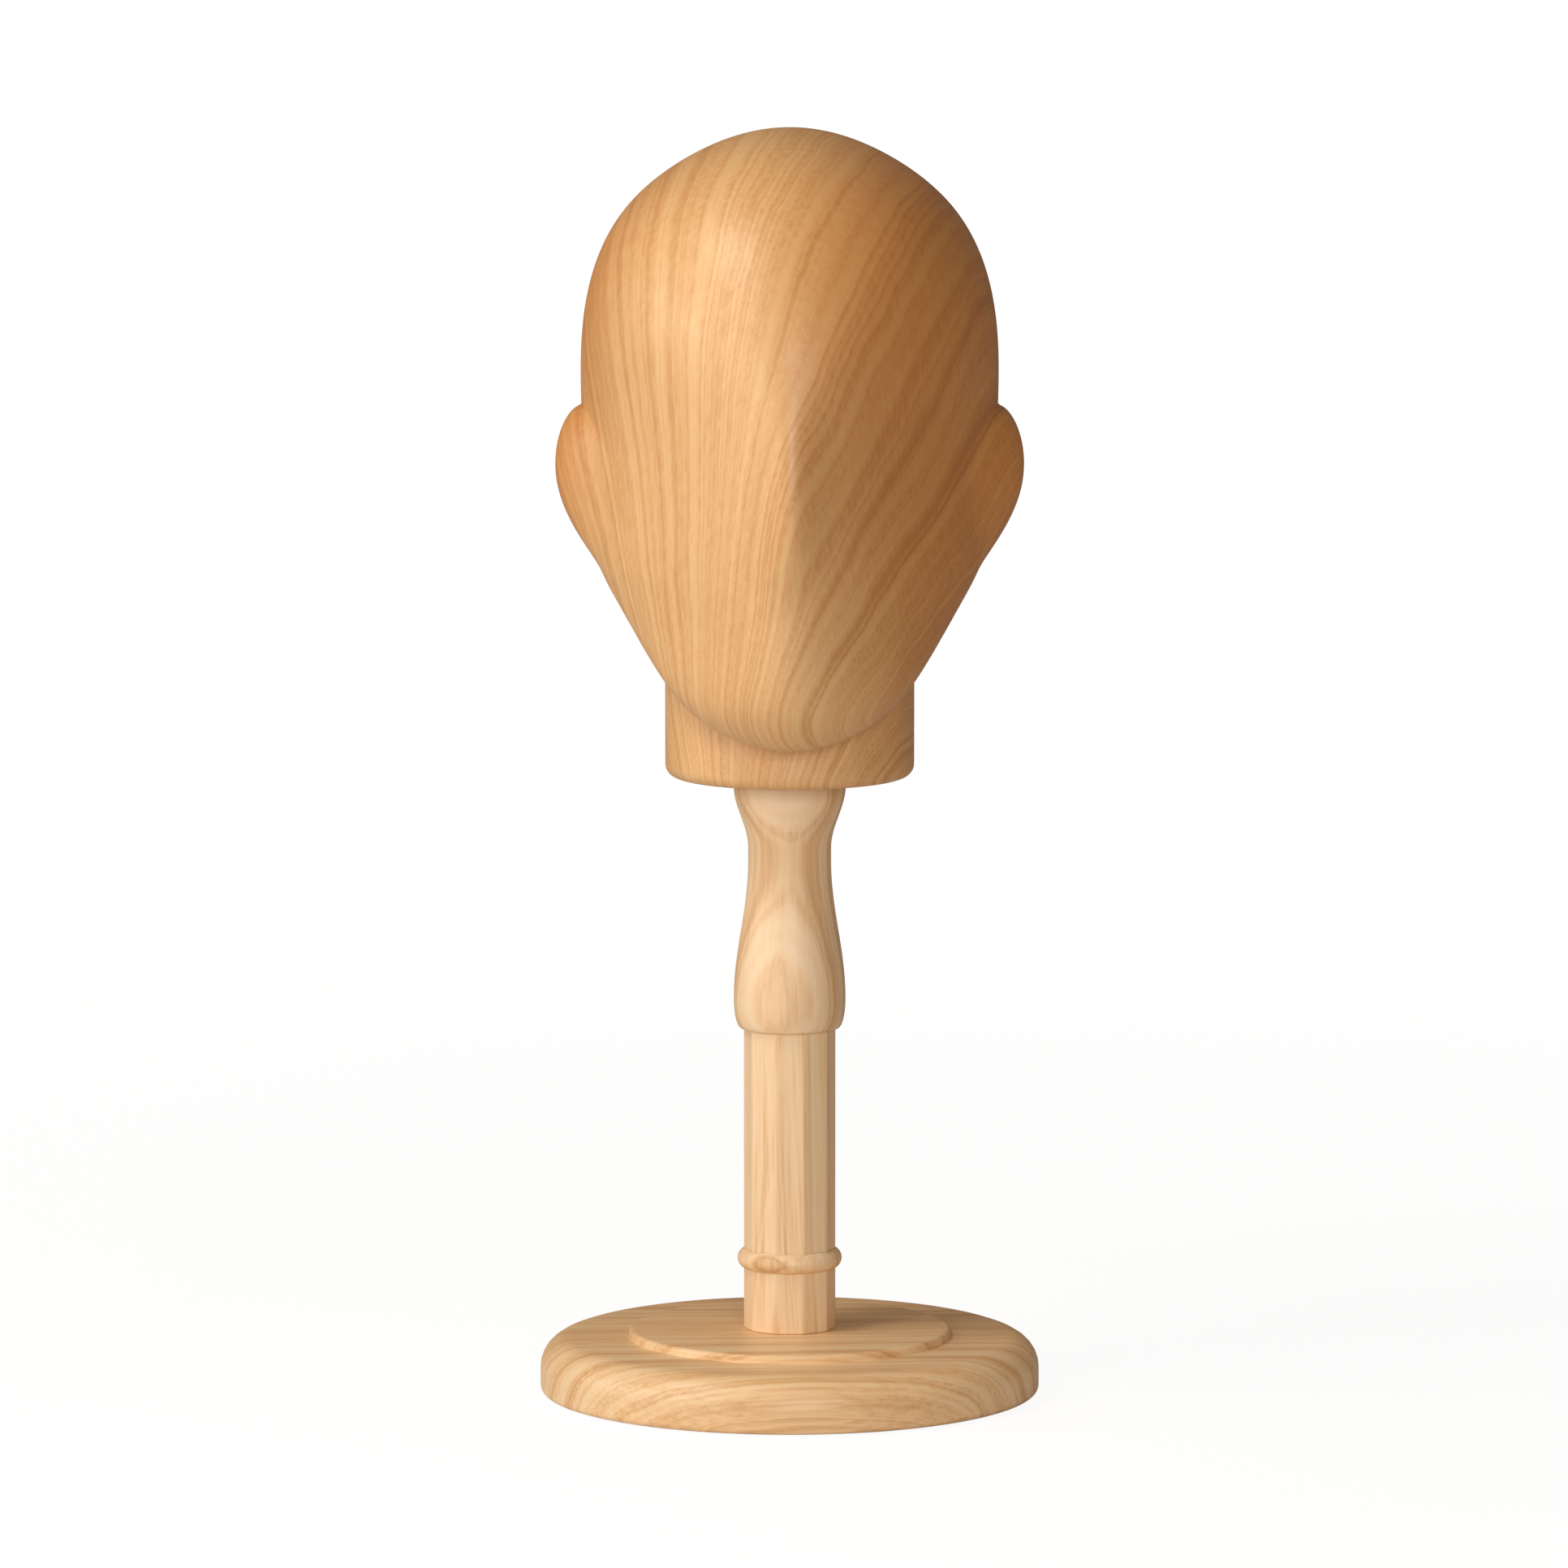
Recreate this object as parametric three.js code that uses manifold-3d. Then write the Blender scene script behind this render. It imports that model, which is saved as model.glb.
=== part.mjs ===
// A faceless wooden mannequin head on a turned stand, for hats, wigs and headphones.
// The head and neck are carved from one block, bored from below for a brass sleeve. The stand is a round base
// with a raised plinth, a ten-sided post with a bead ring, and a turned vase-shaped spindle. Studs and insert
// nuts join the stand's pieces. The head stands on a dowel peg, turns on it, and lifts off it.
// Millimetres. The origin is the centre of the underside, +Z is up and the face looks towards -Y.
import * as THREE from "three";
import { mergeVertices } from "three/addons/utils/BufferGeometryUtils.js";
import Module from "manifold-3d";

const wasm = await Module();
wasm.setup();

// Clearances
const seatGap = 0.1; // between faces that are glued or rest on each other
const boreGap = 0.3; // round a piece that is pressed, glued or screwed into a bore
const turningGap = 0.3; // round the peg, on which the head turns
const endGap = 1; // past the end of a piece in a blind bore

// Base
const baseRadius = 90;
const baseThickness = 20;
const baseTopRounding = 12; // how far the soft upper edge reaches in from the rim
const baseTopDrop = 10; // how far it falls
const baseFootRounding = 2.5;
const plinthSetBack = 32; // from the base's rim
const plinthHeight = 3;
const plinthRounding = 1.5;
const feltSetBack = 10; // from the base's rim
const feltThickness = 1.5;
const feltProud = 0.5; // how far the felt stands out of its recess

// Post, a regular prism with a flat side to the front
const postSides = 10;
const postRadius = 16.6; // to its corners
const postLength = 109.4;
const beadRadius = 18.8;
const beadHeight = 7.5;
const beadRise = 25.5; // from the post's foot to the middle of the bead

// Spindle, from its foot up: a soft shoulder, a belly, a waist, a flare and a collar
const shoulderRadius = 17.5;
const shoulderHeight = 10.6;
const bellyRadius = 20.1;
const bellyToWaist = 50;
const waistWall = 4.6; // wood round the peg's bore
const waistHeight = 4.5;
const waistToCollar = 23;
const collarRadius = 20.2;
const collarHeight = 1.5;
const collarEdge = 0.8;

// Peg, and the washer and sleeve that turn on it
const pegRadius = 10;
const pegInSpindle = 40;
const pegAbove = 66; // above the spindle's top
const pegChamfer = 1.5;
const washerRadius = 19;
const washerThickness = 1.5;
const sleeveWall = 1.5;
const sleeveFlangeRadius = 17;
const sleeveFlangeThickness = 1.5;

// Studs and insert nuts
const studRadius = 4;
const studInPost = 32;
const studInNut = 10;
const studPoint = 5;
const threadDepth = 0.5;
const woodPitch = 3;
const nutPitch = 1.25;
const nutRadius = 7;
const nutLength = 12;
const nutFlangeRadius = 10;
const nutFlangeThickness = 1.5;

// Head
const neckRadius = 44.7;
const neckEdge = 4.5;
const chinRise = 16; // from the neck's underside to the lowest point of the chin
const chinFillet = 8; // where the jaw meets the neck
const napeFillet = 24; // where the back of the head meets the neck
const headHeight = 216.5; // from the chin to the crown
const skullHalfWidth = 75.2;
const faceReach = 96; // from the peg's axis to the front of the face, without the nose
const napeReach = 94; // from the peg's axis to the back of the head
const earRise = 94; // from the chin to the thickest part of the ear
const earSetBack = 3; // behind the peg's axis
const earThickness = 10.4;
const earUp = 23.5;
const earDown = 40;
const earForward = 33;
const earBack = 19;
const noseRise = 84; // from the chin to the highest part of the nose
const noseHeight = 6;
const noseHalfWidth = 15;
const noseUp = 60;
const noseDown = 34;

// How finely the surfaces are cut
const roundSteps = 36;
const baseSteps = 60;
const metalSteps = 24;
const studSteps = 12;
const roundingSteps = 6;
const swellSteps = 10;
const beadSteps = 10;
const headColumns = 56;
const headRows = 48;
const crowding = 0.4; // how much closer the head's columns stand at the ears, the nose and the nape
const halvings = 30; // in the search for the carved surface

// Bores, each measured from the face that it opens in
const studBoreRadius = studRadius + boreGap;
const studBoreDepth = studInPost + endGap;
const nutBoreRadius = nutRadius + boreGap;
const nutBoreDepth = nutFlangeThickness + nutLength + endGap;
const nutSinkRadius = nutFlangeRadius + boreGap;
const nutSinkDepth = nutFlangeThickness + seatGap;
const pegBoreRadius = pegRadius + boreGap;
const pegBoreDepth = pegInSpindle + endGap;
const runningRadius = pegRadius + turningGap;
const sleeveRadius = runningRadius + sleeveWall;
const sleeveLength = pegAbove - washerThickness;

// Sizes that follow from others, and the heights of the assembled pieces
const feltRadius = baseRadius - feltSetBack;
const recessDepth = feltThickness + seatGap - feltProud;
const plinthRadius = baseRadius - plinthSetBack;
const waistRadius = pegBoreRadius + waistWall;
const waistFoot = shoulderHeight + bellyToWaist;
const waistTop = waistFoot + waistHeight;
const spindleLength = waistTop + waistToCollar + collarHeight;
const baseFoot = feltProud;
const baseNutFoot = baseFoot + recessDepth;
const baseNutTop = baseNutFoot + nutFlangeThickness + nutLength;
const postFoot = baseFoot + baseThickness + plinthHeight + seatGap;
const postTop = postFoot + postLength;
const spindleFoot = postTop + seatGap;
const spindleTop = spindleFoot + spindleLength;
const washerFoot = spindleTop + seatGap;
const neckFoot = washerFoot + washerThickness + seatGap;

const headWood = new THREE.MeshStandardMaterial({ color: "#cf9759", roughness: 0.5, metalness: 0 });
const standWood = new THREE.MeshStandardMaterial({ color: "#e3bd8a", roughness: 0.5, metalness: 0 });
const dowelWood = new THREE.MeshStandardMaterial({ color: "#e6c79c", roughness: 0.7, metalness: 0 });
const brass = new THREE.MeshStandardMaterial({ color: "#c9a450", roughness: 0.35, metalness: 1 });
const steel = new THREE.MeshStandardMaterial({ color: "#b9bcc0", roughness: 0.4, metalness: 1 });
const felt = new THREE.MeshStandardMaterial({ color: "#4a4038", roughness: 1, metalness: 0 });

// A quarter round in a turned outline of [radius, height] points, from one corner to the next. It leaves the
// first corner along its radius ("outwards") or along its height ("upwards").
function quarterRound(from, to, leaves) {
  const points = [];
  for (let i = 0; i <= roundingSteps; i++) {
    const angle = (i / roundingSteps) * (Math.PI / 2);
    const early = Math.sin(angle);
    const late = 1 - Math.cos(angle);
    const alongRadius = leaves === "outwards" ? early : late;
    const alongHeight = leaves === "outwards" ? late : early;
    const radius = from[0] + (to[0] - from[0]) * alongRadius;
    const height = from[1] + (to[1] - from[1]) * alongHeight;
    points.push([radius, height]);
  }
  return points;
}

// A smooth stretch of outline between two radii, upright at both ends.
function swell(from, to) {
  const points = [];
  for (let i = 0; i <= swellSteps; i++) {
    const share = i / swellSteps;
    const ease = (1 - Math.cos(Math.PI * share)) / 2;
    points.push([from[0] + (to[0] - from[0]) * ease, from[1] + (to[1] - from[1]) * share]);
  }
  return points;
}

// A threaded stretch of outline: crests at the full radius, and roots between them.
function thread(radius, foot, length, pitch) {
  const turns = Math.max(1, Math.floor(length / pitch));
  const points = [];
  for (let i = 0; i < turns; i++) {
    points.push([radius - threadDepth, foot + (i / turns) * length]);
    points.push([radius, foot + ((i + 0.5) / turns) * length]);
  }
  points.push([radius - threadDepth, foot + length]);
  return points;
}

// A turned piece from its outline of [radius, height] points. A lathe turns about Y, so a quarter turn stands
// the piece up along Z.
function turned(outline, steps = roundSteps) {
  const differs = (point, i) => i === 0 || point.some((value, k) => value !== outline[i - 1][k]);
  const points = outline.filter(differs).map(([radius, height]) => new THREE.Vector2(radius, height));
  return new THREE.LatheGeometry(points, steps).rotateX(Math.PI / 2);
}

function rod(radius, foot, top) {
  return turned([
    [0, foot],
    [radius, foot],
    [radius, top],
    [0, top],
  ]);
}

function prism(sides, radius, length) {
  const corners = [];
  for (let i = 0; i < sides; i++) {
    const angle = ((i + 0.5) / sides) * 2 * Math.PI - Math.PI / 2;
    corners.push(new THREE.Vector2(radius * Math.cos(angle), radius * Math.sin(angle)));
  }
  return new THREE.ExtrudeGeometry(new THREE.Shape(corners), { depth: length, bevelEnabled: false });
}

function solidOf(geometry) {
  const bare = geometry.clone();
  bare.deleteAttribute("normal");
  bare.deleteAttribute("uv");
  const merged = mergeVertices(bare, 1e-3);
  const vertProperties = merged.attributes.position.array;
  const triVerts = new Uint32Array(merged.index.array);
  return new wasm.Manifold(new wasm.Mesh({ numProp: 3, vertProperties, triVerts }));
}

function geometryOf(solid) {
  const { vertProperties, triVerts } = solid.getMesh();
  const geometry = new THREE.BufferGeometry();
  geometry.setAttribute("position", new THREE.BufferAttribute(vertProperties, 3));
  geometry.setIndex(new THREE.BufferAttribute(triVerts, 1));
  return geometry;
}

// A felt disc, let into the underside of the base.
function baseFelt() {
  return turned(
    [
      [0, 0],
      [feltRadius, 0],
      [feltRadius, feltThickness],
      [0, feltThickness],
    ],
    baseSteps,
  );
}

// The base: an insert nut sits in it from below, and the post's stud comes down through it from above.
function base() {
  const roof = recessDepth + nutBoreDepth;
  const top = baseThickness + plinthHeight;
  return turned(
    [
      [studBoreRadius, roof],
      [nutBoreRadius, roof],
      [nutBoreRadius, recessDepth + nutSinkDepth],
      [nutSinkRadius, recessDepth + nutSinkDepth],
      [nutSinkRadius, recessDepth],
      [feltRadius + boreGap, recessDepth],
      [feltRadius + boreGap, 0],
      ...quarterRound([baseRadius - baseFootRounding, 0], [baseRadius, baseFootRounding], "outwards"),
      ...quarterRound(
        [baseRadius, baseThickness - baseTopDrop],
        [baseRadius - baseTopRounding, baseThickness],
        "upwards",
      ),
      [plinthRadius, baseThickness],
      ...quarterRound([plinthRadius, top - plinthRounding], [plinthRadius - plinthRounding, top], "upwards"),
      [studBoreRadius, top],
      [studBoreRadius, roof],
    ],
    baseSteps,
  );
}

// A flanged insert nut, flange downwards, with a coarse thread outside and a hole for a stud.
function insertNut() {
  return turned(
    [
      [studBoreRadius, 0],
      [nutFlangeRadius, 0],
      [nutFlangeRadius, nutFlangeThickness],
      ...thread(nutRadius, nutFlangeThickness, nutLength, woodPitch),
      [studBoreRadius, nutFlangeThickness + nutLength],
      [studBoreRadius, 0],
    ],
    metalSteps,
  );
}

// A stud with a pointed wood thread downwards and a machine thread upwards. They meet at height 0.
function stud(reach) {
  return turned(
    [
      [0, -studInPost],
      ...thread(studRadius, studPoint - studInPost, studInPost - studPoint, woodPitch),
      ...thread(studRadius, 0, reach, nutPitch),
      [0, reach],
    ],
    studSteps,
  );
}

// The post, bored at both ends for the wood threads of two studs.
function post() {
  const lowerBore = solidOf(rod(studBoreRadius, -endGap, studBoreDepth));
  const upperBore = solidOf(rod(studBoreRadius, postLength - studBoreDepth, postLength + endGap));
  const blank = solidOf(prism(postSides, postRadius, postLength));
  return geometryOf(blank.subtract(lowerBore).subtract(upperBore));
}

// The bead, a half-round ring with its hole cut to the post's sides.
function bead() {
  const half = beadHeight / 2;
  const edge = [];
  for (let i = 0; i <= beadSteps; i++) {
    const angle = (i / beadSteps - 0.5) * Math.PI;
    edge.push([beadRadius - half + half * Math.cos(angle), half * Math.sin(angle)]);
  }
  const disc = solidOf(turned([[0, -half], ...edge, [0, half]]));
  const hole = solidOf(prism(postSides, postRadius + boreGap, beadHeight + 2 * endGap));
  return geometryOf(disc.subtract(hole.translate([0, 0, -half - endGap])));
}

// The spindle. Its foot is bored for an insert nut and the stud, and its top for the peg.
function spindle() {
  return turned([
    [0, nutBoreDepth],
    [nutBoreRadius, nutBoreDepth],
    [nutBoreRadius, nutSinkDepth],
    [nutSinkRadius, nutSinkDepth],
    [nutSinkRadius, 0],
    ...quarterRound([shoulderRadius, 0], [bellyRadius, shoulderHeight], "outwards"),
    ...swell([bellyRadius, shoulderHeight], [waistRadius, waistFoot]),
    ...swell([waistRadius, waistTop], [collarRadius, spindleLength - collarHeight]),
    [collarRadius, spindleLength - collarEdge],
    [collarRadius - collarEdge, spindleLength],
    [pegBoreRadius, spindleLength],
    [pegBoreRadius, spindleLength - pegBoreDepth],
    [0, spindleLength - pegBoreDepth],
  ]);
}

// The peg. Height 0 is the spindle's top.
function peg() {
  return turned([
    [0, -pegInSpindle],
    [pegRadius - pegChamfer, -pegInSpindle],
    [pegRadius, pegChamfer - pegInSpindle],
    [pegRadius, pegAbove - pegChamfer],
    [pegRadius - pegChamfer, pegAbove],
    [0, pegAbove],
  ]);
}

function washer() {
  return turned([
    [runningRadius, 0],
    [washerRadius, 0],
    [washerRadius, washerThickness],
    [runningRadius, washerThickness],
    [runningRadius, 0],
  ]);
}

// The sleeve: a tube with a thin flange, let in flush with the neck's underside.
function sleeve() {
  return turned([
    [runningRadius, 0],
    [sleeveFlangeRadius, 0],
    [sleeveFlangeRadius, sleeveFlangeThickness],
    [sleeveRadius, sleeveFlangeThickness],
    [sleeveRadius, sleeveLength],
    [runningRadius, sleeveLength],
    [runningRadius, 0],
  ]);
}

// A smooth curve through [x, y] points, straight at its two ends: a natural cubic spline.
function curveThrough(points) {
  const last = points.length - 1;
  const bend = new Array(last + 1).fill(0);
  const carry = new Array(last + 1).fill(0);
  const slope = (i) => (points[i + 1][1] - points[i][1]) / (points[i + 1][0] - points[i][0]);
  for (let i = 1; i < last; i++) {
    const before = points[i][0] - points[i - 1][0];
    const after = points[i + 1][0] - points[i][0];
    const pivot = 2 * (before + after) - before * carry[i - 1];
    carry[i] = after / pivot;
    bend[i] = (6 * (slope(i) - slope(i - 1)) - before * bend[i - 1]) / pivot;
  }
  for (let i = last - 1; i > 0; i--) bend[i] -= carry[i] * bend[i + 1];
  return (x) => {
    let i = 0;
    while (i < last - 1 && x > points[i + 1][0]) i++;
    const step = points[i + 1][0] - points[i][0];
    const b = (x - points[i][0]) / step;
    const a = 1 - b;
    const straight = a * points[i][1] + b * points[i + 1][1];
    return straight + (((a ** 3 - a) * bend[i] + (b ** 3 - b) * bend[i + 1]) * step ** 2) / 6;
  };
}

// A height on the head, as a share of the way from chin to crown, becomes a place on a meridian: 0 at the
// chin and 1 at the crown, with even steps of turn between them. Outlines then close in a round cap.
const meridian = (share) => Math.acos(1 - 2 * share) / Math.PI;
const outlineThrough = (points) => curveThrough(points.map(([share, reach]) => [meridian(share), reach]));

// The head's half width, as a share of the skull's
const widthOutline = outlineThrough([
  [0, 0],
  [0.0275, 0.33],
  [0.07, 0.503],
  [0.115, 0.612],
  [0.17, 0.717],
  [0.225, 0.815],
  [0.28, 0.902],
  [0.38, 0.966],
  [0.5, 0.986],
  [0.66, 0.988],
  [0.77, 0.93],
  [0.874, 0.766],
  [0.956, 0.463],
  [1, 0],
]);
// The middle of the face and the line of the cheeks, where the head is widest, as shares of the face's reach
const faceOutline = outlineThrough([
  [0, -0.6],
  [0.0275, -0.755],
  [0.07, -0.845],
  [0.14, -0.9],
  [0.25, -0.945],
  [0.38, -0.985],
  [0.5, -1],
  [0.62, -0.985],
  [0.72, -0.93],
  [0.82, -0.82],
  [0.9, -0.67],
  [0.96, -0.45],
  [1, 0.04],
]);
const cheekOutline = outlineThrough([
  [0, -0.6],
  [0.07, -0.48],
  [0.14, -0.36],
  [0.24, -0.18],
  [0.36, -0.05],
  [0.5, 0],
  [0.75, 0],
  [1, 0.04],
]);
// The middle of the back of the head, as a share of the nape's reach
const napeOutline = outlineThrough([
  [0, -0.613],
  [0.03, -0.47],
  [0.1, -0.13],
  [0.2, 0.38],
  [0.3, 0.7],
  [0.42, 0.91],
  [0.55, 0.995],
  [0.66, 0.985],
  [0.77, 0.925],
  [0.87, 0.775],
  [0.95, 0.53],
  [1, 0.041],
]);
// How sharply the front of a level section comes to a ridge: 2 is an ellipse, and 1 is a keel with full cheeks
const ridgeOutline = outlineThrough([
  [0, 1.7],
  [0.07, 1.25],
  [0.16, 1.02],
  [0.3, 0.95],
  [0.45, 0.95],
  [0.55, 1.1],
  [0.66, 1.45],
  [0.8, 1.85],
  [1, 2],
]);
const ridgeRounding = 0.24; // over this share of the half width
const napeFullness = 2.15; // 2 is an ellipse, and more is squarer
const earEdge = 0.6; // under 1 is a full edge, above and behind the ear
const earFade = 1.3; // added to it below and in front, where the ear runs out into the cheek

// How far the ear stands out from the side of the head.
function earAt(y, rise) {
  const up = rise - earRise;
  const back = y - earSetBack;
  const s = up / (up > 0 ? earUp : earDown);
  const t = back / (back > 0 ? earBack : earForward);
  const left = 1 - s * s - t * t;
  if (left <= 0) return 0;
  const turnedDown = (Math.min(s, 0) ** 2 + Math.min(t, 0) ** 2) / Math.max(1 - left, Number.EPSILON);
  return earThickness * left ** (earEdge + earFade * turnedDown);
}

function noseAt(x, rise) {
  const up = rise - noseRise;
  const s = up / (up > 0 ? noseUp : noseDown);
  if (Math.abs(s) >= 1) return 0;
  return noseHeight * (1 - s * s) ** 2 * Math.exp(-2 * (x / noseHalfWidth) ** 2);
}

// How far the front of a level section has fallen back: 0 in the middle of the face, 1 at its sides.
function fallBack(across, sharpness) {
  const curve = (value) => (value ** 2 + ridgeRounding ** 2) ** (sharpness / 2) - ridgeRounding ** sharpness;
  return curve(across) / curve(1);
}

// True where a point lies inside the head. Its height is measured from the neck's underside.
function insideHead(x, y, z) {
  const rise = z - chinRise;
  if (rise <= 0 || rise >= headHeight) return false;
  const place = meridian(rise / headHeight);
  const across = Math.max(0, Math.abs(x) - earAt(y, rise)) / (widthOutline(place) * skullHalfWidth);
  if (across >= 1) return false;
  const cheek = cheekOutline(place) * faceReach;
  if (y > cheek) {
    const nape = napeOutline(place) * napeReach;
    return y - cheek < (nape - cheek) * Math.sqrt(1 - across ** napeFullness);
  }
  const face = faceOutline(place) * faceReach;
  const sharpness = ridgeOutline(place);
  const front = (1 - fallBack(across, sharpness)) ** (1 / (1 + sharpness / 2));
  return cheek - y < (cheek - face) * front + noseAt(x, rise);
}

// The carved surface's distance from the heart of the block, in a direction given by its angle down from the
// crown and its angle round from the ear at +X. The neck is a cylinder, and a fillet joins it to the head.
const heartRise = chinRise + headHeight / 2;
function carvedReach(down, round) {
  const level = Math.sin(down);
  const drop = Math.cos(down);
  let near = 0;
  let far = headHeight + faceReach;
  for (let i = 0; i < halvings; i++) {
    const half = (near + far) / 2;
    const out = half * level;
    const inside = insideHead(out * Math.cos(round), out * Math.sin(round), heartRise + half * drop);
    if (inside) near = half;
    else far = half;
  }
  const neck = drop < 0 ? neckRadius / level : 0;
  const fillet = chinFillet + (napeFillet - chinFillet) * Math.max(0, Math.sin(round)) ** 2;
  const blend = Math.max(0, 1 - Math.abs(near - neck) / fillet);
  return Math.max(near, neck) + (blend ** 2 * fillet) / 4;
}

// A closed surface from a first point, rings that all have the same number of points, and a last point.
function skin(first, rings, last) {
  const columns = rings[0].length;
  const end = 1 + rings.length * columns;
  const at = (row, column) => 1 + row * columns + (column % columns);
  const faces = [];
  for (let c = 0; c < columns; c++) {
    faces.push(0, at(0, c), at(0, c + 1));
    for (let r = 0; r + 1 < rings.length; r++) {
      faces.push(at(r, c), at(r + 1, c), at(r + 1, c + 1));
      faces.push(at(r, c), at(r + 1, c + 1), at(r, c + 1));
    }
    faces.push(end, at(rings.length - 1, c + 1), at(rings.length - 1, c));
  }
  const positions = [first, ...rings.flat(), last].flat();
  const geometry = new THREE.BufferGeometry();
  geometry.setAttribute("position", new THREE.Float32BufferAttribute(positions, 3));
  geometry.setIndex(faces);
  return geometry;
}

// The head: carved rings from the crown down to the neck, then the neck's rounded edge, its underside and the
// bore for the sleeve.
function head() {
  const turns = [];
  for (let i = 0; i < headColumns; i++) {
    const even = (i / headColumns) * 2 * Math.PI;
    turns.push(even - (crowding / 4) * Math.sin(4 * even));
  }
  const at = (turn, radius, height) => [radius * Math.cos(turn), radius * Math.sin(turn), height];
  const carvedAt = (turn, down) => {
    const reach = carvedReach(down, turn);
    return at(turn, reach * Math.sin(down), heartRise + reach * Math.cos(down));
  };
  const lowest = Math.PI - Math.atan(neckRadius / (heartRise - neckEdge));
  const rings = [];
  for (let row = 1; row < headRows; row++) {
    rings.push(turns.map((turn) => carvedAt(turn, (row / headRows) * lowest)));
  }
  const socketRadius = sleeveRadius + boreGap;
  const socketDepth = sleeveLength + endGap;
  const sinkRadius = sleeveFlangeRadius + boreGap;
  const sinkDepth = sleeveFlangeThickness + seatGap;
  const below = [
    ...quarterRound([neckRadius, neckEdge], [neckRadius - neckEdge, 0], "upwards"),
    [sinkRadius, 0],
    [sinkRadius, sinkDepth],
    [socketRadius, sinkDepth],
    [socketRadius, socketDepth],
  ];
  for (const [radius, height] of below) {
    rings.push(turns.map((turn) => at(turn, radius, height)));
  }
  return skin([0, 0, heartRise + carvedReach(0, 0)], rings, [0, 0, socketDepth]);
}

function piece(name, geometry, material, height) {
  const mesh = new THREE.Mesh(geometry, material);
  mesh.name = name;
  mesh.position.z = height;
  return mesh;
}

const headStand = new THREE.Group();
headStand.add(
  piece("base_felt", baseFelt(), felt, 0),
  piece("base", base(), standWood, baseFoot),
  piece("base_insert_nut", insertNut(), brass, baseNutFoot),
  piece("base_stud", stud(postFoot - baseNutTop + studInNut).rotateX(Math.PI), steel, postFoot),
  piece("post", post(), standWood, postFoot),
  piece("post_bead", bead(), standWood, postFoot + beadRise),
  piece("spindle_stud", stud(seatGap + studInNut), steel, postTop),
  piece("spindle_insert_nut", insertNut(), brass, spindleFoot),
  piece("spindle", spindle(), standWood, spindleFoot),
  piece("head_peg", peg(), dowelWood, spindleTop),
  piece("head_washer", washer(), brass, washerFoot),
  piece("neck_sleeve", sleeve(), brass, neckFoot),
  piece("head", head(), headWood, neckFoot),
);
export default headStand;
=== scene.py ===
# A faceless wooden mannequin head on a turned stand, about 46 cm high, in metres, +Z up, face towards -Y.
import math
import bmesh
import bpy
import numpy as np
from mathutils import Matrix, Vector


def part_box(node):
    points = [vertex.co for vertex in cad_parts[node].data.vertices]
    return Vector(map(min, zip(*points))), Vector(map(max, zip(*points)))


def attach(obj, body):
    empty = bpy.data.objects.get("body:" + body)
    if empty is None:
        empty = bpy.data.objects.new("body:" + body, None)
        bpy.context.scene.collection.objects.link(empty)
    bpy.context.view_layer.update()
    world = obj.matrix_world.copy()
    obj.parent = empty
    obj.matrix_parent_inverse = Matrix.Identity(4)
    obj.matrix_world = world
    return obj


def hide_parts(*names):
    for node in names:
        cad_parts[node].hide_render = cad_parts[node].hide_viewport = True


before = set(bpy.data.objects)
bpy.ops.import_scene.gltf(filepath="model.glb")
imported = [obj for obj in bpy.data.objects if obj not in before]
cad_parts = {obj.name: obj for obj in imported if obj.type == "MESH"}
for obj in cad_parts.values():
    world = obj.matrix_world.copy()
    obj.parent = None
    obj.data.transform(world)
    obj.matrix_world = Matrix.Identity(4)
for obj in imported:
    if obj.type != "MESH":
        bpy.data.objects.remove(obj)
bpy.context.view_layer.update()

# The base: a round of rubberwood board, turned in one piece with its raised plinth, sanded, stained a
# little and given a satin varnish. Its top edge is a wide soft round. It is bored through for the stud,
# and from below for the insert nut, with a shallow recess for the felt.

MM = 0.001


def outline(corners, steps=8):
    """A profile of straight runs from (radius, height, rounding) corners in mm, as an array in metres.
    Each corner is replaced by the circular arc of its rounding that touches both of the sides that meet
    there. A corner that is nearly straight stays as it is."""
    points = np.array(corners, float)
    runs = [points[:1, :2]]
    for before, corner, after in zip(points[:-2], points[1:-1], points[2:]):
        back, ahead = before[:2] - corner[:2], after[:2] - corner[:2]
        back, ahead = back / np.linalg.norm(back), ahead / np.linalg.norm(ahead)
        half = np.arccos(np.clip(back @ ahead, -1, 1)) / 2
        if corner[2] == 0 or half > 1.5:
            runs.append(corner[None, :2])
            continue
        middle = (back + ahead) / np.linalg.norm(back + ahead)
        centre = corner[:2] + middle * corner[2] / math.sin(half)
        across = back - middle * (back @ middle)
        across /= np.linalg.norm(across)
        turn = np.linspace(math.pi / 2 - half, half - math.pi / 2, steps)[:, None]
        runs.append(centre + corner[2] * (across * np.sin(turn) - middle * np.cos(turn)))
    runs.append(points[-1:, :2])
    return np.concatenate(runs) * MM


def around_z(radius, height, angle):
    """The points that have a radius and a height, at each angle round +Z."""
    return np.stack([radius * np.cos(angle), radius * np.sin(angle), height + 0 * angle], axis=-1)


def turned(profile, columns=192):
    """The surface of a lathe: point (i, j) is the profile's i-th (radius, height) carried round +Z by
    angle j."""
    angle = np.linspace(0, 2 * math.pi, columns, endpoint=False)
    return around_z(profile[:, :1], profile[:, 1:], angle)


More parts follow.
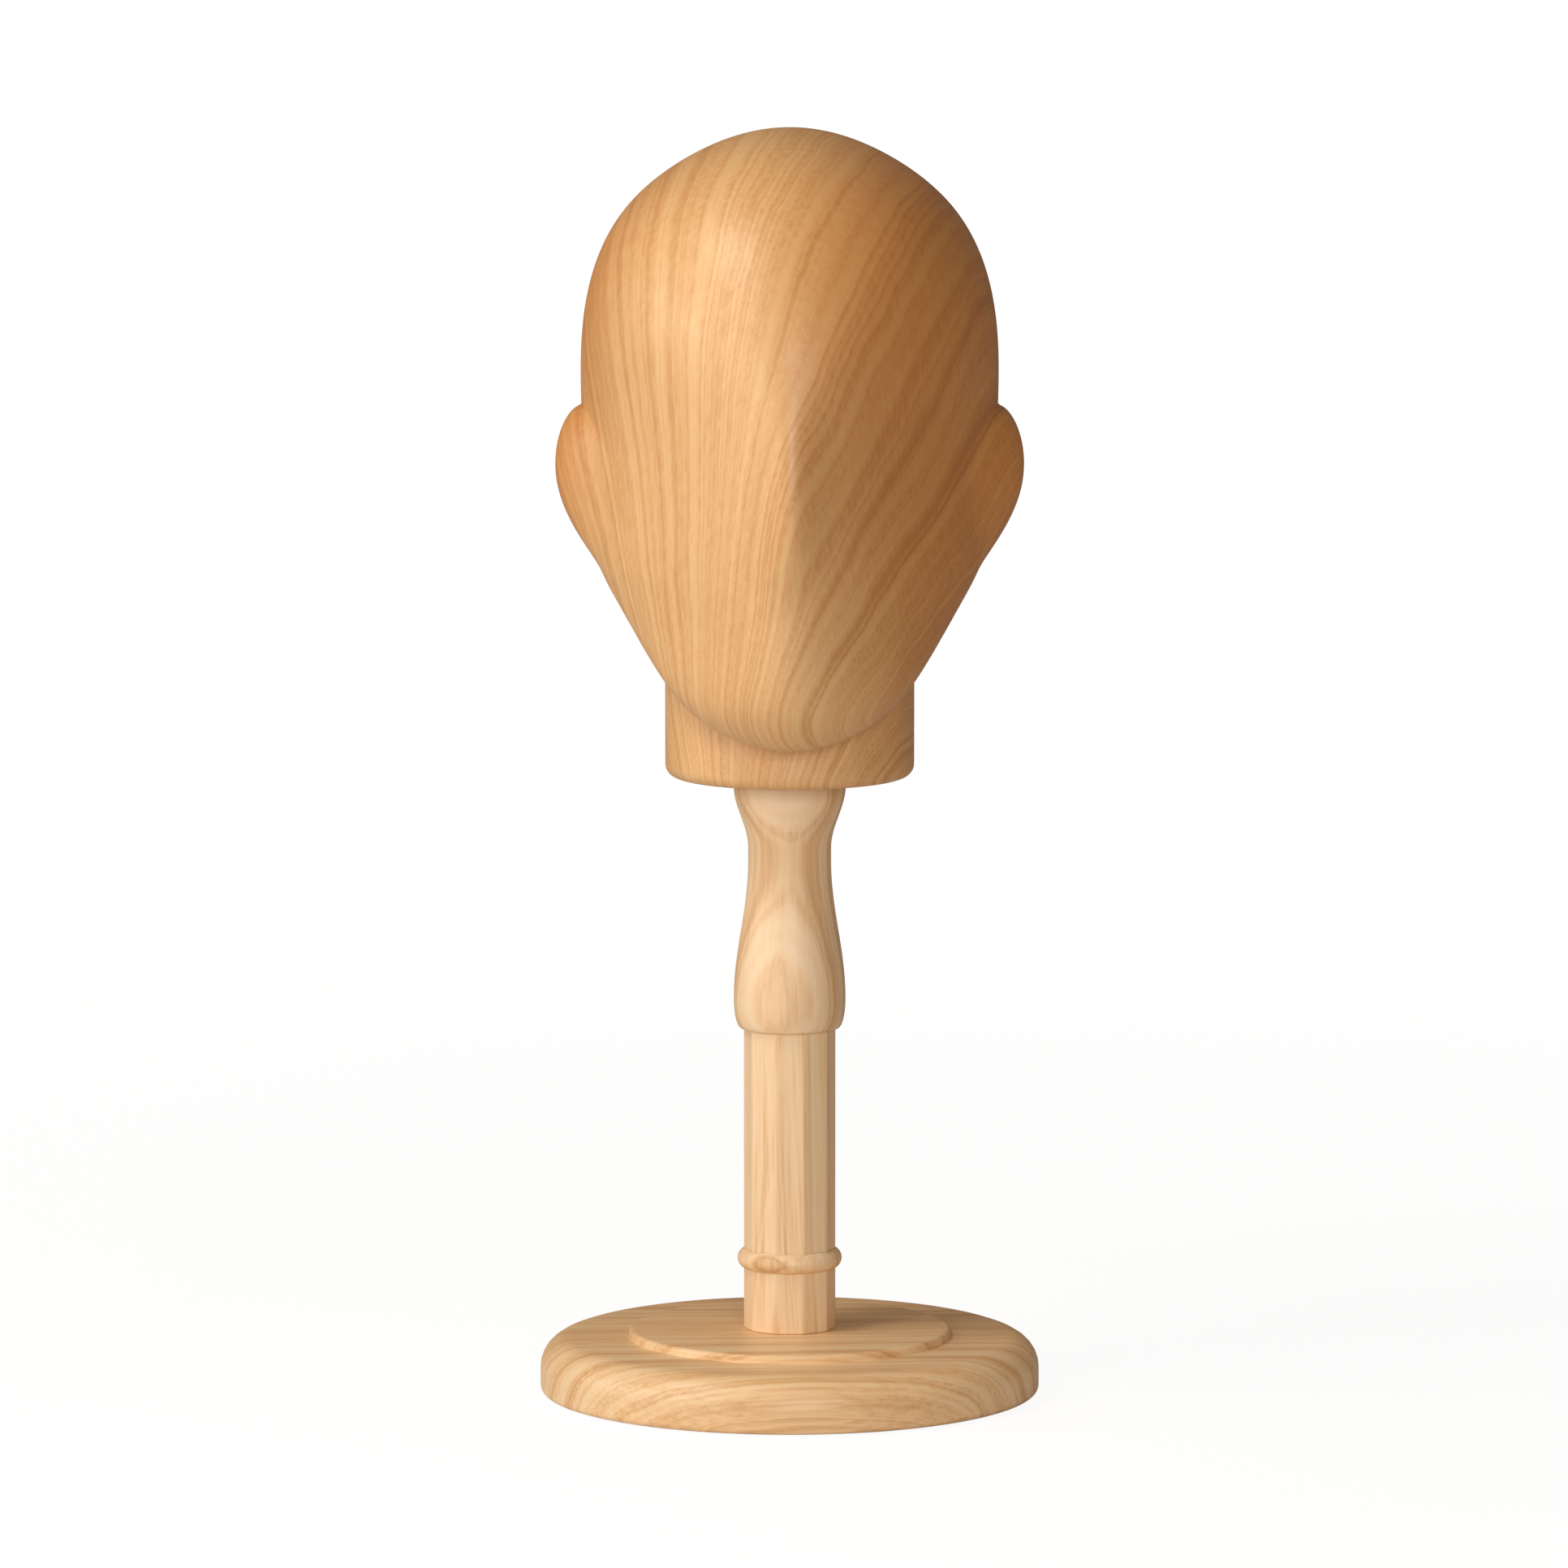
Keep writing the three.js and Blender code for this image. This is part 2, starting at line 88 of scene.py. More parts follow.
def piece(name, grid, material, body, node, sharp=35):
    """Makes the piece whose rings of points are the grid's rows, each closed round, with smooth shading
    except at edges over sharp degrees. Rings that shrink to a point become poles, and a last ring that
    lies on the first closes the tube. The piece rides on a body and stands for a CAD node."""
    rows, columns = grid.shape[:2]
    index = np.arange(rows * columns).reshape(rows, columns)
    beside = np.roll(index, -1, axis=1)
    quads = np.stack([index[:-1], beside[:-1], beside[1:], index[1:]], axis=-1).reshape(-1, 4)
    mesh = bpy.data.meshes.new(name)
    mesh.vertices.add(index.size)
    mesh.vertices.foreach_set("co", grid.reshape(-1).astype(np.float32))
    mesh.loops.add(quads.size)
    mesh.loops.foreach_set("vertex_index", quads.reshape(-1).astype(np.int32))
    mesh.polygons.add(len(quads))
    mesh.polygons.foreach_set("loop_start", np.arange(0, quads.size, 4, dtype=np.int32))
    mesh.update(calc_edges=True)
    shape = bmesh.new()
    shape.from_mesh(mesh)
    bmesh.ops.remove_doubles(shape, verts=shape.verts, dist=1e-6)
    bmesh.ops.recalc_face_normals(shape, faces=shape.faces)
    shape.to_mesh(mesh)
    shape.free()
    mesh.polygons.foreach_set("use_smooth", np.ones(len(mesh.polygons), dtype=bool))
    mesh.set_sharp_from_angle(angle=math.radians(sharp))
    made = bpy.data.objects.new(name, mesh)
    bpy.context.scene.collection.objects.link(made)
    made.data.materials.append(material)
    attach(made, body)
    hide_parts(node)
    return made


def linear(code):
    """An sRGB hex colour as linear red, green, blue and alpha."""
    parts = np.array([int(code[i : i + 2], 16) for i in (1, 3, 5)]) / 255
    return (*np.where(parts <= 0.04045, parts / 12.92, ((parts + 0.055) / 1.055) ** 2.4), 1.0)


def add(tree, kind, inputs=None, **settings):
    """Adds a node with its settings, and gives each named or numbered input a value or a link. A Map Range
    takes its value as 0, the limits that it comes from as 1 and 2, and those that it goes to as 3 and 4. A
    colour Mix takes its share as 0 and its two colours as 6 and 7."""
    made = tree.nodes.new(kind)
    for name, value in settings.items():
        setattr(made, name, value)
    for socket, value in (inputs or {}).items():
        if isinstance(value, bpy.types.NodeSocket):
            tree.links.new(value, made.inputs[socket])
        else:
            made.inputs[socket].default_value = value
    return made


def wood(name, colours, pith, lean, ring, line, figure, fibre, fleck, gloss, roughness, sap_and_shade, fan=None):
    """Clear-finished wood, cut from a log whose pith passes through the point pith (mm), turned from +Z
    by lean (degrees). Its colour follows the distance from the pith: uneven bands of growth, a dark
    latewood line as strong as line at the end of each ring (mm), and fine lines between, all swayed
    sideways by figure rings along the log. Streaks as strong as fibre and short pores, fleck mm wide, lie
    along it. sap_and_shade gives the middle and half width of the palest zone as distances from the pith
    (mm). Beyond it the colour deepens. This is the wood's own deeper tone, and where the zone is set
    towards the lit side it is also painted shade. With fan, (height where the fibres would meet, height
    where they are as written) in mm, the fibres spread upwards and the palest zone narrows upwards, so the
    painted shade grows towards the top. The colours are those of the pale, middle and dark bands, and the
    tint that deepens them."""
    material = bpy.data.materials.new(name)
    material.use_nodes = True
    tree = material.node_tree
    tree.nodes.clear()
    log_place = {"Location": [v * MM for v in pith], "Rotation": [math.radians(v) for v in lean]}

    def in_log(place):
        """The place as measured from the pith, and its distance from the pith."""
        inputs = {"Vector": place, **log_place}
        log = add(tree, "ShaderNodeMapping", inputs, vector_type="TEXTURE").outputs[0]
        level = add(tree, "ShaderNodeVectorMath", {0: log, 1: (1, 1, 0)}, operation="MULTIPLY").outputs[0]
        return log, add(tree, "ShaderNodeVectorMath", {0: level}, operation="LENGTH").outputs["Value"]

    def along_fibres(width, length, detail, rough=0.5):
        """A pattern of spots that are width mm across the fibres and length mm along them."""
        stretch = (1 / (width * MM), 1 / (width * MM), 1 / (length * MM))
        seen = add(tree, "ShaderNodeVectorMath", {0: log, 1: stretch}, operation="MULTIPLY").outputs[0]
        inputs = {"Vector": seen, "Scale": 1.0, "Detail": detail, "Roughness": rough}
        return add(tree, "ShaderNodeTexNoise", inputs).outputs["Fac"]

    def across_rings(width, detail):
        """The number of widths (mm) from the pith, and a pattern of lines about that far apart."""
        count = {0: grown, 1: 1 / (width * MM)}
        count = add(tree, "ShaderNodeMath", count, operation="MULTIPLY").outputs[0]
        inputs = {"W": count, "Scale": 1.0, "Detail": detail, "Roughness": 0.6}
        return count, add(tree, "ShaderNodeTexNoise", inputs, noise_dimensions="1D").outputs["Fac"]

    place = add(tree, "ShaderNodeTexCoord").outputs["Object"]
    _, depth = in_log(place)
    if fan:
        meet, middle = fan
        upright = add(tree, "ShaderNodeSeparateXYZ", {0: place}).outputs[2]
        above = add(tree, "ShaderNodeMath", {0: upright, 1: -meet * MM}, operation="ADD").outputs[0]
        shrink = {0: (middle - meet) * MM, 1: above}
        shrink = add(tree, "ShaderNodeMath", shrink, operation="DIVIDE").outputs[0]
        closer = add(tree, "ShaderNodeCombineXYZ", {0: shrink, 1: shrink, 2: 1.0}).outputs[0]
        place = add(tree, "ShaderNodeVectorMath", {0: place, 1: closer}, operation="MULTIPLY").outputs[0]
    log, out = in_log(place)

    # The log bends a little every 5 cm across it and every 25 cm along it, and the rings bend with it.
    drift = along_fibres(50, 250, 3.0, 0.45)
    sway = ring * figure * MM
    grown = add(tree, "ShaderNodeMath", {0: drift, 1: sway, 2: out}, operation="MULTIPLY_ADD").outputs[0]
    count, bands = across_rings(ring, 2.0)
    _, threads = across_rings(ring / 5, 1.0)

    # Each ring ends in latewood, which comes on as the fifth power of the way through the ring.
    part = add(tree, "ShaderNodeMath", {0: count}, operation="FRACT").outputs[0]
    late = add(tree, "ShaderNodeMath", {0: part, 1: 5.0}, operation="POWER").outputs[0]

    # Pores are really about 0.1 mm wide, and are drawn several times as wide so that they show.
    short = along_fibres(fleck, fleck * 50, 2.0)
    long = along_fibres(fleck * 3, fleck * 150, 2.0)

    # The tone is the weighted sum of these patterns. The wood is palest half a tone_range below the tone's
    # usual value and darkest as far above it.
    thread_share, drift_share, tone_range = 0.4, 0.5, 0.88
    patterns = ((threads, thread_share), (long, fibre), (short, fibre / 2), (late, line))
    tone = bands
    for pattern, share in (*patterns, (drift, drift_share)):
        tone = {0: pattern, 1: share, 2: tone}
        tone = add(tree, "ShaderNodeMath", tone, operation="MULTIPLY_ADD").outputs[0]
    usual = 0.5 * (1 + thread_share + fibre * 1.5 + drift_share) + line / 6
    tones = {0: tone, 1: usual - tone_range / 2, 2: usual + tone_range / 2}
    ramp = add(tree, "ShaderNodeMapRange", tones, interpolation_type="SMOOTHSTEP").outputs[0]
    pale, mid, dark, deep = (linear(c) for c in colours)
    first = add(tree, "ShaderNodeMapRange", {0: ramp, 1: 0.0, 2: 0.5}).outputs[0]
    second = add(tree, "ShaderNodeMapRange", {0: ramp, 1: 0.5, 2: 1.0}).outputs[0]
    body = add(tree, "ShaderNodeMix", {0: first, 6: pale, 7: mid}, data_type="RGBA").outputs[2]
    body = add(tree, "ShaderNodeMix", {0: second, 6: body, 7: dark}, data_type="RGBA").outputs[2]

    # The palest zone ends between half and 1.6 times its half width, and with a fan it loses 0.15 mm on
    # each side for each mm upwards. The deepening beyond it is the wood's own deeper tone. On the head it
    # is also painted shade on the right side and the crown, away from the lamps.
    inner, outer, deepest, narrowing = 0.5, 1.6, 0.87, 0.15
    depth = add(tree, "ShaderNodeMath", {0: drift, 1: sway, 2: depth}, operation="MULTIPLY_ADD").outputs[0]
    off = add(tree, "ShaderNodeMath", {0: depth, 1: sap_and_shade[0] * MM}, operation="SUBTRACT").outputs[0]
    off = add(tree, "ShaderNodeMath", {0: off}, operation="ABSOLUTE").outputs[0]
    if fan:
        higher = {0: above, 1: (middle - meet) * MM}
        higher = add(tree, "ShaderNodeMath", higher, operation="SUBTRACT").outputs[0]
        off = {0: higher, 1: narrowing, 2: off}
        off = add(tree, "ShaderNodeMath", off, operation="MULTIPLY_ADD").outputs[0]
    edges = {0: off, 1: sap_and_shade[1] * inner * MM, 2: sap_and_shade[1] * outer * MM, 4: deepest}
    beyond = add(tree, "ShaderNodeMapRange", edges, interpolation_type="SMOOTHSTEP").outputs[0]
    deepened = {0: 1.0, 6: body, 7: deep}
    deepened = add(tree, "ShaderNodeMix", deepened, data_type="RGBA", blend_type="MULTIPLY").outputs[2]
    body = add(tree, "ShaderNodeMix", {0: beyond, 6: body, 7: deepened}, data_type="RGBA").outputs[2]

    unevenness = 0.06
    film = {0: short, 3: roughness - unevenness, 4: roughness + unevenness}
    film = add(tree, "ShaderNodeMapRange", film).outputs[0]
    bump = add(tree, "ShaderNodeBump", {"Height": short, "Strength": 0.12, "Distance": 0.2 * MM}).outputs[0]
    shader = {"Base Color": body, "Roughness": film, "Normal": bump}
    shader |= {"IOR": 1.5, "Specular IOR Level": gloss}
    surface = add(tree, "ShaderNodeBsdfPrincipled", shader)
    add(tree, "ShaderNodeOutputMaterial", {"Surface": surface.outputs[0]})
    return material


# Varnished rubberwood board: honey-coloured under a satin film, with its rings as long lines on the top
# and as arches round the edge.
base_wood = wood(
    "varnished_rubberwood_board",
    colours=("#FADAAE", "#F4CB97", "#DBA770", "#E2BD93"),
    pith=(0, -115, -40),
    lean=(0, 88, 3),
    ring=7,
    line=0.1,
    figure=2.2,
    fibre=0.5,
    fleck=0.5,
    gloss=0.6,
    roughness=0.4,
    sap_and_shade=(100, 140),
)
BASE_RADIUS, BASE_THICKNESS, TOP_ROUND, UNDER_ROUND = 90.0, 20.0, 11, 2.5
PLINTH_RADIUS, PLINTH_TOP, PLINTH_ROUND, PLINTH_FILLET = 58.0, 23.0, 1.5, 0.6
STUD_BORE, NUT_BORE, NUT_SINK = 4.3, 7.3, 10.3  # radii of the bores for a bolt, a nut and a nut's flange
BASE_NUT_DEPTH, BASE_SINK_DEPTH = 15.6, 2.7
RECESS_RADIUS, RECESS_DEPTH = 80.3, 1.1
CRISP, EASED, SOFT = 0.2, 0.3, 0.4  # roundings of edges left by the tool, by sandpaper and by more of it
base_profile = outline(
    [
        (STUD_BORE, BASE_NUT_DEPTH, 0),
        (NUT_BORE, BASE_NUT_DEPTH, EASED),
        (NUT_BORE, BASE_SINK_DEPTH, CRISP),
        (NUT_SINK, BASE_SINK_DEPTH, CRISP),
        (NUT_SINK, RECESS_DEPTH, CRISP),
        (RECESS_RADIUS, RECESS_DEPTH, EASED),
        (RECESS_RADIUS, 0, EASED),
        (BASE_RADIUS, 0, UNDER_ROUND),
        (BASE_RADIUS, BASE_THICKNESS, TOP_ROUND),
        (PLINTH_RADIUS, BASE_THICKNESS, PLINTH_FILLET),
        (PLINTH_RADIUS, PLINTH_TOP, PLINTH_ROUND),
        (STUD_BORE, PLINTH_TOP, EASED),
        (STUD_BORE, BASE_NUT_DEPTH, 0),
    ]
)
base_profile[:, 1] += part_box("base")[0][2]
piece("base_board", turned(base_profile, 360), base_wood, "stand", "base")

# The felt: a disc die-cut from pressed wool felt, glued into the recess and standing half a millimetre
# proud, so that the stand doesn't scratch the table.

FELT_RADIUS, FELT_THICKNESS, FUZZ, TUFT = 80, 1.5, 0.35, 3
FUZZ_SHARE, DARKEST, PALEST = 0.6, 0.5, 1.1  # of the fuzz and tufts together

# Pressed wool felt: dark and matt, a soft fuzz with faint tufts. The fibres are really about 0.03 mm
# thick, and the fuzz is drawn ten times as coarse so that it shows.
felt = bpy.data.materials.new("pressed_wool_felt")
felt.use_nodes = True
tree = felt.node_tree
tree.nodes.clear()
place = add(tree, "ShaderNodeTexCoord").outputs["Object"]
fuzz = {"Vector": place, "Scale": 1 / (FUZZ * MM), "Detail": 4.0, "Roughness": 0.65, "Distortion": 1.5}
fuzz = add(tree, "ShaderNodeTexNoise", fuzz).outputs["Fac"]
tufts = {"Vector": place, "Scale": 1 / (TUFT * MM), "Detail": 3.0}
tufts = add(tree, "ShaderNodeTexNoise", tufts).outputs["Fac"]
mixed = add(tree, "ShaderNodeMath", {0: fuzz, 1: FUZZ_SHARE, 2: tufts}, operation="MULTIPLY_ADD").outputs[0]
mixed = add(tree, "ShaderNodeMapRange", {0: mixed, 1: DARKEST, 2: PALEST}).outputs[0]
wool = {0: mixed, 6: linear("#3A322B"), 7: linear("#5C5047")}
wool = add(tree, "ShaderNodeMix", wool, data_type="RGBA").outputs[2]
bump = add(tree, "ShaderNodeBump", {"Height": fuzz, "Strength": 0.6, "Distance": 0.3 * MM}).outputs[0]
shader = {"Base Color": wool, "Roughness": 0.95, "Normal": bump}
shader |= {"Sheen Weight": 0.3, "Sheen Roughness": 0.5}
surface = add(tree, "ShaderNodeBsdfPrincipled", shader)
add(tree, "ShaderNodeOutputMaterial", {"Surface": surface.outputs[0]})

felt_profile = [(0, 0, 0), (FELT_RADIUS, 0, SOFT)]
felt_profile += [(FELT_RADIUS, FELT_THICKNESS, EASED), (0, FELT_THICKNESS, 0)]
felt_grid = turned(outline(felt_profile), 240)
felt_disc = piece("felt_disc", felt_grid, felt, "stand", "base_felt")

# The fixings: brass insert nuts are screwed into the base and the spindle, and zinc-plated hanger bolts
# join them to the post. A bolt has a coarse wood thread at one end and a fine machine thread at the
# other.


def metal(name, colours, roughness, grit):
    """Bare metal turned on a lathe: its two tones wander from one to the other, and fine rings left by
    the tool, grit mm apart, cross it round +Z as a slight bump. Real tool marks are some hundredths of a
    millimetre apart, and these are coarser so that they show."""
    cloud_size, unevenness = 9, 0.08
    material = bpy.data.materials.new(name)
    material.use_nodes = True
    tree = material.node_tree
    tree.nodes.clear()
    place = add(tree, "ShaderNodeTexCoord").outputs["Object"]
    cloud = {"Vector": place, "Scale": 1 / (cloud_size * MM), "Detail": 4.0, "Roughness": 0.6}
    cloud = add(tree, "ShaderNodeTexNoise", cloud).outputs["Fac"]
    level = add(tree, "ShaderNodeVectorMath", {0: place, 1: (1, 1, 0)}, operation="MULTIPLY").outputs[0]
    out = add(tree, "ShaderNodeVectorMath", {0: level}, operation="LENGTH").outputs["Value"]
    height = add(tree, "ShaderNodeSeparateXYZ", {0: place}).outputs[2]
    along = add(tree, "ShaderNodeMath", {0: out, 1: height}, operation="ADD").outputs[0]
    rings = {"W": along, "Scale": 1 / (grit * MM), "Detail": 2.0}
    rings = add(tree, "ShaderNodeTexNoise", rings, noise_dimensions="1D").outputs["Fac"]
    tint = {0: cloud, 6: linear(colours[0]), 7: linear(colours[1])}
    tint = add(tree, "ShaderNodeMix", tint, data_type="RGBA").outputs[2]
    worn = {0: cloud, 3: roughness - unevenness, 4: roughness + unevenness}
    worn = add(tree, "ShaderNodeMapRange", worn).outputs[0]
    bump = add(tree, "ShaderNodeBump", {"Height": rings, "Strength": 0.25, "Distance": 0.1 * MM}).outputs[0]
    shader = {"Base Color": tint, "Metallic": 1.0, "Roughness": worn, "Normal": bump}
    surface = add(tree, "ShaderNodeBsdfPrincipled", shader)
    add(tree, "ShaderNodeOutputMaterial", {"Surface": surface.outputs[0]})
    return material


# Turned brass is warm yellow and lightly dulled, and zinc-plated steel is grey with a milky sheen.
brass = metal("turned_brass", ("#E3C27A", "#CFA85C"), roughness=0.3, grit=0.25)
steel = metal("zinc_plated_steel", ("#D3D6D8", "#BFC4C9"), roughness=0.36, grit=0.3)


def thread(radius, foot, length, pitch, depth, columns=72):
    """A helical thread between two heights in mm: at angle a and height h the radius is a triangle wave
    of h / pitch - a / full turn, which rises from radius - depth to radius and runs out over its first
    and last pitch. Each pitch has ten rows of points."""
    height = np.linspace(foot, foot + length, int(length / pitch * 10) + 1)[:, None]
    angle = np.linspace(0, 2 * math.pi, columns, endpoint=False)
    wave = np.abs((height / pitch - angle / (2 * math.pi)) % 1 * 2 - 1)
    run_out = np.clip(np.minimum(height - foot, foot + length - height) / pitch, 0, 1)
    reach = radius - depth + depth * wave * run_out
    return around_z(reach, height, angle) * MM


def lifted(grid, height):
    """The same grid, higher by a height in metres."""
    return grid + np.array([0, 0, height])


WOOD_PITCH, MACHINE_PITCH = 3, 1.25
FLANGE_RADIUS, FLANGE_THICKNESS = 10, 1.5
NUT_RADIUS, NUT_CORE, NUT_HOLE, NUT_GROOVE, NUT_LENGTH = 7, 6.4, 4.5, 0.2, 13.5
flange = [(NUT_HOLE, 0, 0), (FLANGE_RADIUS, 0, EASED), (FLANGE_RADIUS, FLANGE_THICKNESS, EASED)]
flange = outline(flange + [(NUT_CORE, FLANGE_THICKNESS, 0)])
tall = NUT_LENGTH - FLANGE_THICKNESS
outside = thread(NUT_RADIUS, FLANGE_THICKNESS, tall, pitch=WOOD_PITCH, depth=NUT_RADIUS - NUT_CORE)
end = outline([(NUT_CORE, NUT_LENGTH, 0), (NUT_HOLE, NUT_LENGTH, 0)])
inside = thread(NUT_HOLE, 0, NUT_LENGTH, pitch=MACHINE_PITCH, depth=-NUT_GROOVE)[::-1]
mouth = outline([(NUT_HOLE + NUT_GROOVE, 0, 0), (NUT_HOLE, 0, 0)])
nut = np.concatenate([turned(flange, 72), outside, turned(end, 72), inside, turned(mouth, 72)])
for name, node in (("base_nut", "base_insert_nut"), ("spindle_nut", "spindle_insert_nut")):
    piece(name, lifted(nut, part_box(node)[0][2]), brass, "stand", node)

# A bolt is made with its wood thread, the longer end, below height 0 and tapered to a point. It is flipped
# if the CAD's longer end is above the seat.
WOOD_DEPTH, MACHINE_DEPTH, TAPER = 0.7, 0.45, 0.7
BOLT_RADIUS, WOOD_END, PLAIN_LENGTH, POINT_LENGTH, TIP_RADIUS = 4, 32, 1, 5, 3.3
(_, _, post_foot), (_, _, post_top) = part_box("post")
seat = {"base_stud": post_foot, "spindle_stud": post_top}
for name, node in (("base_hanger_bolt", "base_stud"), ("spindle_hanger_bolt", "spindle_stud")):
    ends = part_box(node)[0][2] - seat[node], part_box(node)[1][2] - seat[node]
    flip = 1 if ends[1] < -ends[0] else -1
    reach = min(ends[1], -ends[0]) / MM
    screw = thread(BOLT_RADIUS, -WOOD_END, WOOD_END - PLAIN_LENGTH, pitch=WOOD_PITCH, depth=WOOD_DEPTH)
    screw[..., :2] *= np.clip((screw[..., 2:] / MM + WOOD_END) / POINT_LENGTH, 0, 1) ** TAPER
    bolt = thread(BOLT_RADIUS, 0, reach, pitch=MACHINE_PITCH, depth=MACHINE_DEPTH)
    tip = turned(outline([(TIP_RADIUS, reach, 0), (0, reach, 0)]), 72)
    bolt = np.concatenate([screw, bolt, tip]) * (1, flip, flip)
    piece(name, lifted(bolt, seat[node]), steel, "stand", node)

# The post: a ten-sided prism of pale rubberwood, planed flat by flat with a flat side to the front, its
# corners just broken with sandpaper, and varnished. It is bored at both ends for the hanger bolts.

SIDES, POST_RADIUS, CORNER, BOLT_BORE_DEPTH = 10, 16.6, 0.8, 33
END_SHARE = 0.988  # the ends are eased with sandpaper to this share of the post's width


def prism(profile, sides, radius, corner, columns=240):
    """A prism with slightly rounded corners: the profile's points are (share, height), and at angle j its
    level section reaches share times the distance to the nearest flat side. A soft minimum, the log of a
    sum of exponentials, limits that distance to a circle at the corners."""
    angle = np.linspace(0, 2 * math.pi, columns, endpoint=False)
    half = math.pi / sides
    within = (angle + math.pi / 2) % (2 * half)
    within = np.minimum(within, 2 * half - within)
    flat = radius * math.cos(half) / np.cos(within)
    blur = corner / 8
    reach = -np.logaddexp(-flat / blur, -(radius - blur) / blur) * blur
    return around_z(profile[:, :1] * reach, profile[:, 1:], angle)


# Varnished rubberwood, straight from the plane: the palest wood of the stand, with fine upright streaks.
post_wood = wood(
    "varnished_rubberwood_post",
    colours=("#F9DFB9", "#F5D1A4", "#D9AC78", "#F2E2CE"),
    pith=(60, 110, 0),
    lean=(1.5, -1, 0),
    ring=6,
    line=0.08,
    figure=2.0,
    fibre=0.7,
    fleck=0.5,
    gloss=0.5,
    roughness=0.4,
    sap_and_shade=(138, 40),
)
length = (post_top - post_foot) / MM
eased = np.array([(END_SHARE, 0), (1, CRISP), (1, length - CRISP), (END_SHARE, length)]) * (1, MM)
bore = outline([(0, BOLT_BORE_DEPTH, 0), (STUD_BORE, BOLT_BORE_DEPTH, 0), (STUD_BORE, 0, 0)])
upper_bore = bore[::-1] * (1, -1) + (0, length * MM)
post_grid = [turned(bore, 240), prism(eased, SIDES, POST_RADIUS * MM, CORNER * MM), turned(upper_bore, 240)]
post_grid = lifted(np.concatenate(post_grid), post_foot)
piece("post_prism", post_grid, post_wood, "stand", "post", 8)

# The bead: a half-round ring turned from the same wood, its hole cut to the post's ten sides, slid up the
# post and glued. At each angle its section is an arc that ends on the hole's outline.

BEAD_RADIUS, BEAD_HALF, HOLE_GAP, ARC_POINTS = 18.8, 3.75, 0.3, 24
bead_middle = (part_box("post_bead")[0][2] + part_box("post_bead")[1][2]) / 2
hole = prism(np.array([(1, 0)]), SIDES, (POST_RADIUS + HOLE_GAP) * MM, CORNER * MM)[0, :, :2]
inner = np.linalg.norm(hole, axis=1)
centre = (BEAD_RADIUS - BEAD_HALF) * MM
turn = np.linspace(-1, 1, ARC_POINTS)[:, None] * np.arccos((inner - centre) / (BEAD_HALF * MM))
reach = centre + BEAD_HALF * MM * np.cos(turn)
height = BEAD_HALF * MM * np.sin(turn)
bead_grid = np.concatenate([reach[..., None] * hole / inner[:, None], height[..., None]], axis=-1)
bead_grid = lifted(np.concatenate([bead_grid, bead_grid[:1]]), bead_middle)
piece("bead_ring", bead_grid, post_wood, "stand", "post_bead")

# The spindle: a vase shape turned from a pale blank, sanded on the lathe and varnished. The cut runs
# across the growth rings, so they show as long arches on the belly.

# Varnished rubberwood, turned: creamy and smooth, with few streaks, darker round the arches.
spindle_wood = wood(
    "varnished_rubberwood_turning",
    colours=("#F8DDB8", "#F3CFA3", "#DBAF7F", "#F0DCC6"),
    pith=(14, 43, 0),
    lean=(1, -1.5, 0),
    ring=8,
    line=0.1,
    figure=2.0,
    fibre=0.4,
    fleck=0.5,
    gloss=0.4,
    roughness=0.4,
    sap_and_shade=(60, 30),
)


def swell(start, end, steps=40):
    """A run of profile between two (radius, height) points whose radius eases from one to the other along
    half a cosine wave, so that it is upright at both ends."""
    share = np.linspace(0, 1, steps)
    radius = start[0] + (end[0] - start[0]) * (1 - np.cos(math.pi * share)) / 2
    return np.stack([radius, start[1] + (end[1] - start[1]) * share], axis=-1) * MM


def shoulder(start, end, steps=16):
    """A quarter of an ellipse that leaves the start along its radius and reaches the end along its
    height."""
    turn = np.linspace(0, math.pi / 2, steps)
    radius = start[0] + (end[0] - start[0]) * np.sin(turn)
    return np.stack([radius, start[1] + (end[1] - start[1]) * (1 - np.cos(turn))], axis=-1) * MM


SHOULDER, BELLY, WAIST, COLLAR, PEG_BORE = 17.5, 20.1, 14.9, 20.2, 10.3  # radii
BELLY_HEIGHT, WAIST_FOOT, WAIST_TOP, COLLAR_FOOT, SPINDLE_TOP = 10.6, 60.6, 65.1, 88.1, 89.6
COLLAR_STEP, COLLAR_ROUND, PEG_BORE_FOOT, SPINDLE_NUT_DEPTH, SPINDLE_SINK_DEPTH = 0.1, 0.7, 48.6, 14.5, 1.6
nut_seat = [(0, SPINDLE_NUT_DEPTH, 0), (NUT_BORE, SPINDLE_NUT_DEPTH, CRISP)]
nut_seat += [(NUT_BORE, SPINDLE_SINK_DEPTH, CRISP), (NUT_SINK, SPINDLE_SINK_DEPTH, CRISP), (NUT_SINK, 0, 0)]
top = [(COLLAR, COLLAR_FOOT + COLLAR_STEP, 0), (COLLAR, SPINDLE_TOP, COLLAR_ROUND)]
top += [(PEG_BORE, SPINDLE_TOP, EASED), (PEG_BORE, PEG_BORE_FOOT, EASED), (0, PEG_BORE_FOOT, 0)]
belly = shoulder((SHOULDER, 0), (BELLY, BELLY_HEIGHT))
vase = swell((BELLY, BELLY_HEIGHT), (WAIST, WAIST_FOOT))[1:]
flare = swell((WAIST, WAIST_TOP), (COLLAR, COLLAR_FOOT))
spindle_profile = np.concatenate([outline(nut_seat), belly, vase, flare, outline(top)])
spindle_profile[:, 1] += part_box("spindle")[0][2]
piece("spindle_turning", turned(spindle_profile), spindle_wood, "stand", "spindle")

# The peg: a beech dowel, chamfered at both ends, glued into the spindle. The head turns on it, so it is
# sanded and waxed but has no varnish.

